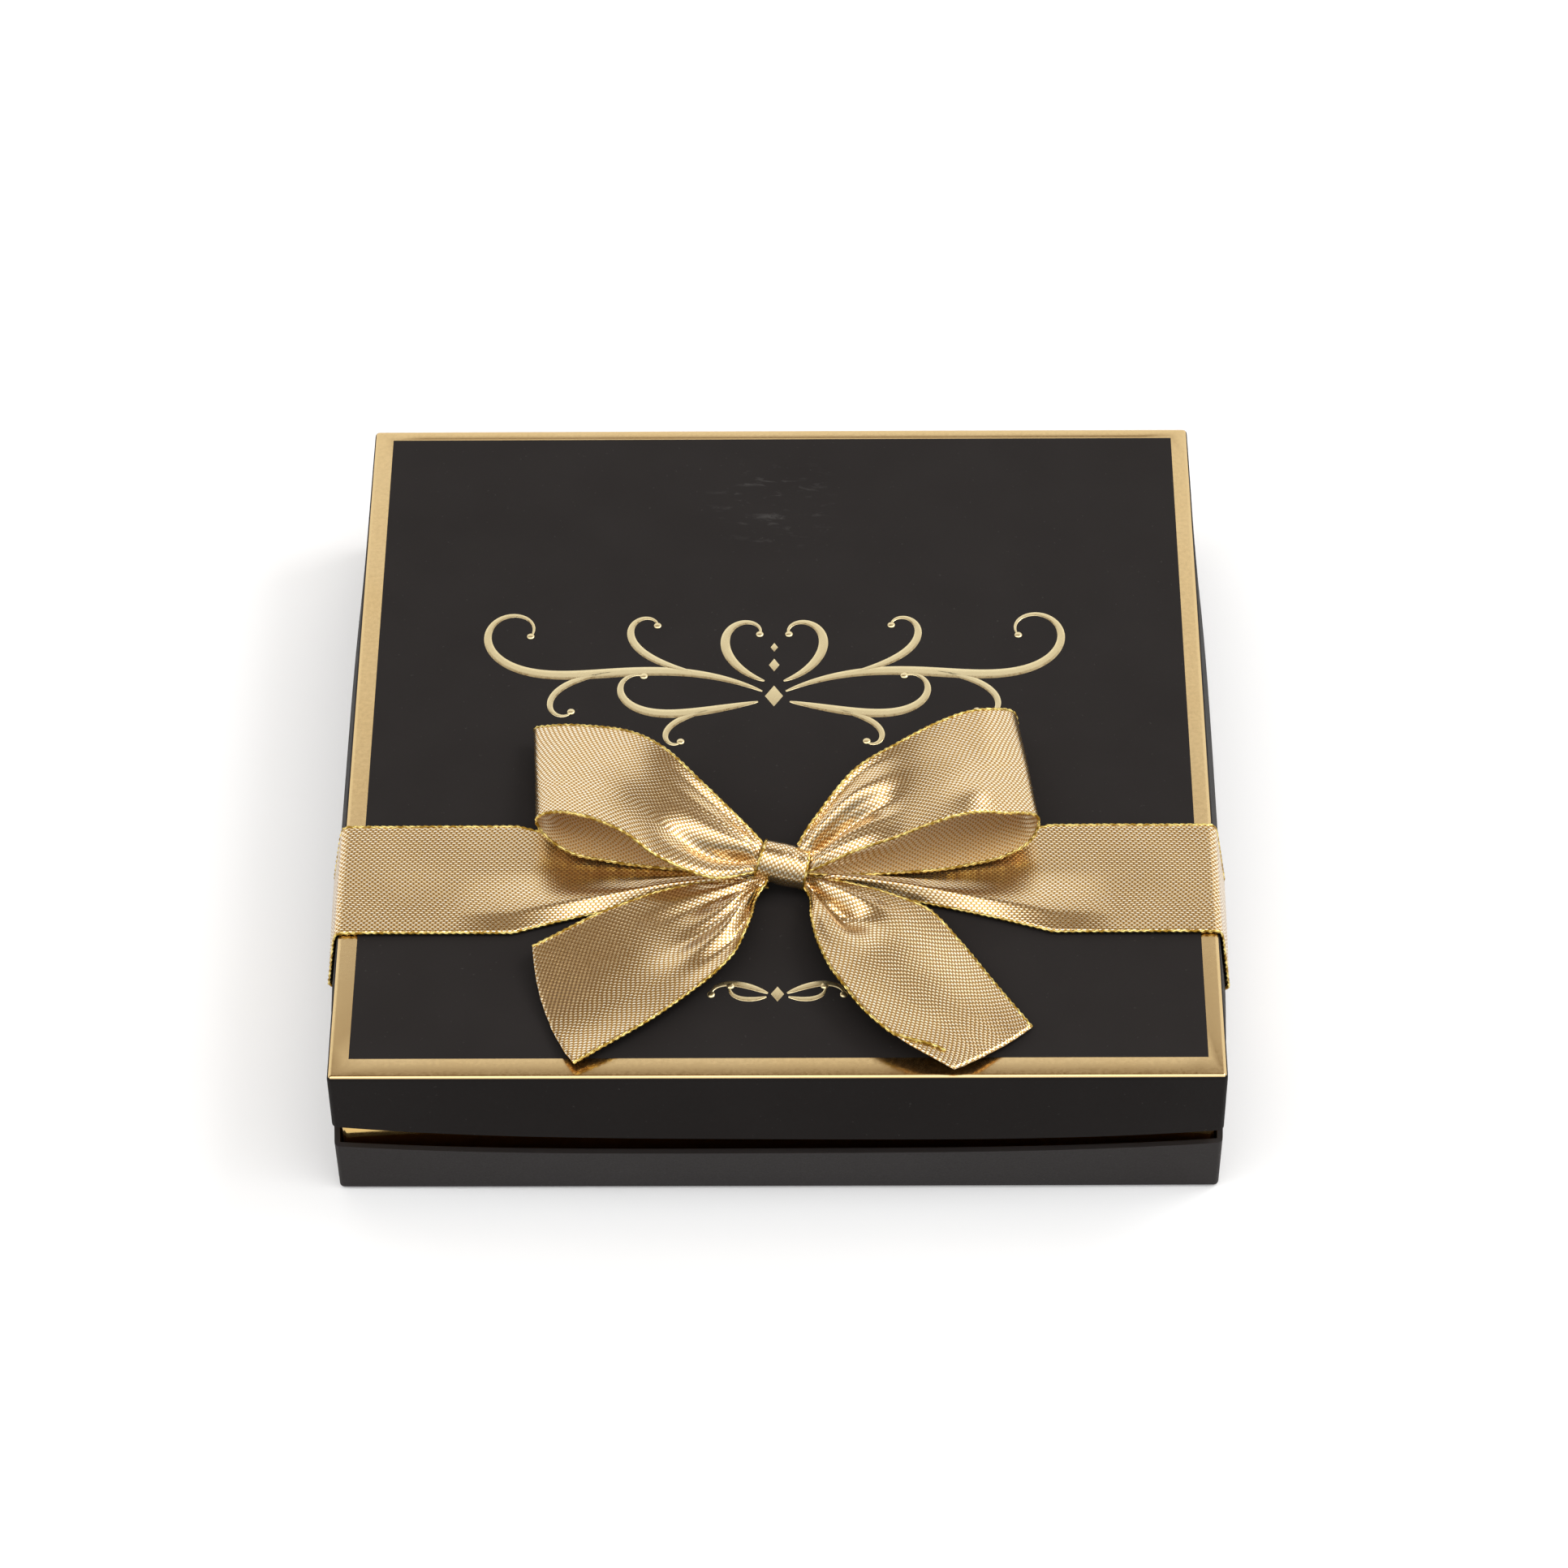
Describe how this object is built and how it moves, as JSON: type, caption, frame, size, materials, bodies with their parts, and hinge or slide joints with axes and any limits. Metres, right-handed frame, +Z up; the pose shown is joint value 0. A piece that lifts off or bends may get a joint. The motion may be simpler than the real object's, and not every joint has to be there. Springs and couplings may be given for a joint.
{
  "type": "box of chocolates",
  "caption": "Square flat gift box of chocolate truffles: black paper base with a gold neck, divided tray and pad, and a lift-off lid with a gold border and a metallic ribbon bow.",
  "frame": {"origin": "middle of the base's underside, on the surface that the box stands on", "axes": "+Z up, +X to the right along the ribbon, +Y to the back; the bow lies towards the front, which faces -Y"},
  "size_m": [0.166, 0.1648, 0.047],
  "materials": {
    "black_paper": "matte",
    "gold_paper": "gloss",
    "tray_board": "matte",
    "chocolate": "matte",
    "pad_paper": "matte",
    "ribbon": "satin"
  },
  "bodies": {
    "base": {"base_shell": "black_paper", "neck_frame": "gold_paper"},
    "tray": {"insert_tray": "tray_board", "divider_across_1": "tray_board", "divider_across_2": "tray_board", "divider_across_3": "tray_board", "divider_across_4": "tray_board", "divider_along_1": "tray_board", "divider_along_2": "tray_board", "divider_along_3": "tray_board", "divider_along_4": "tray_board"},
    "truffles": {"truffle_1_1": "chocolate", "truffle_1_2": "chocolate", "truffle_1_3": "chocolate", "truffle_1_4": "chocolate", "truffle_1_5": "chocolate", "truffle_2_1": "chocolate", "truffle_2_2": "chocolate", "truffle_2_3": "chocolate", "truffle_2_4": "chocolate", "truffle_2_5": "chocolate", "truffle_3_1": "chocolate", "truffle_3_2": "chocolate", "truffle_3_3": "chocolate", "truffle_3_4": "chocolate", "truffle_3_5": "chocolate", "truffle_4_1": "chocolate", "truffle_4_2": "chocolate", "truffle_4_3": "chocolate", "truffle_4_4": "chocolate", "truffle_4_5": "chocolate", "truffle_5_1": "chocolate", "truffle_5_2": "chocolate", "truffle_5_3": "chocolate", "truffle_5_4": "chocolate", "truffle_5_5": "chocolate"},
    "pad": {"cushion_pad": "pad_paper"},
    "lid": {"lid_shell": "black_paper", "ribbon_band_left": "ribbon", "ribbon_band_right": "ribbon", "bow_knot": "ribbon", "bow_loop_left": "ribbon", "bow_loop_right": "ribbon", "bow_tail_left": "ribbon", "bow_tail_right": "ribbon"}
  },
  "joints": [
    {"name": "tray_lift", "type": "slide", "parent": "base", "child": "tray", "axis": [0, 0, 1], "range_m": [0, 0.05]},
    {"name": "truffles_lift", "type": "slide", "parent": "tray", "child": "truffles", "axis": [0, 0, 1], "range_m": [0, 0.04]},
    {"name": "pad_lift", "type": "slide", "parent": "truffles", "child": "pad", "axis": [0, 0, 1], "range_m": [0, 0.06]},
    {"name": "lid_lift", "type": "slide", "parent": "pad", "child": "lid", "axis": [0, 0, 1], "range_m": [0, 0.1]}
  ]
}
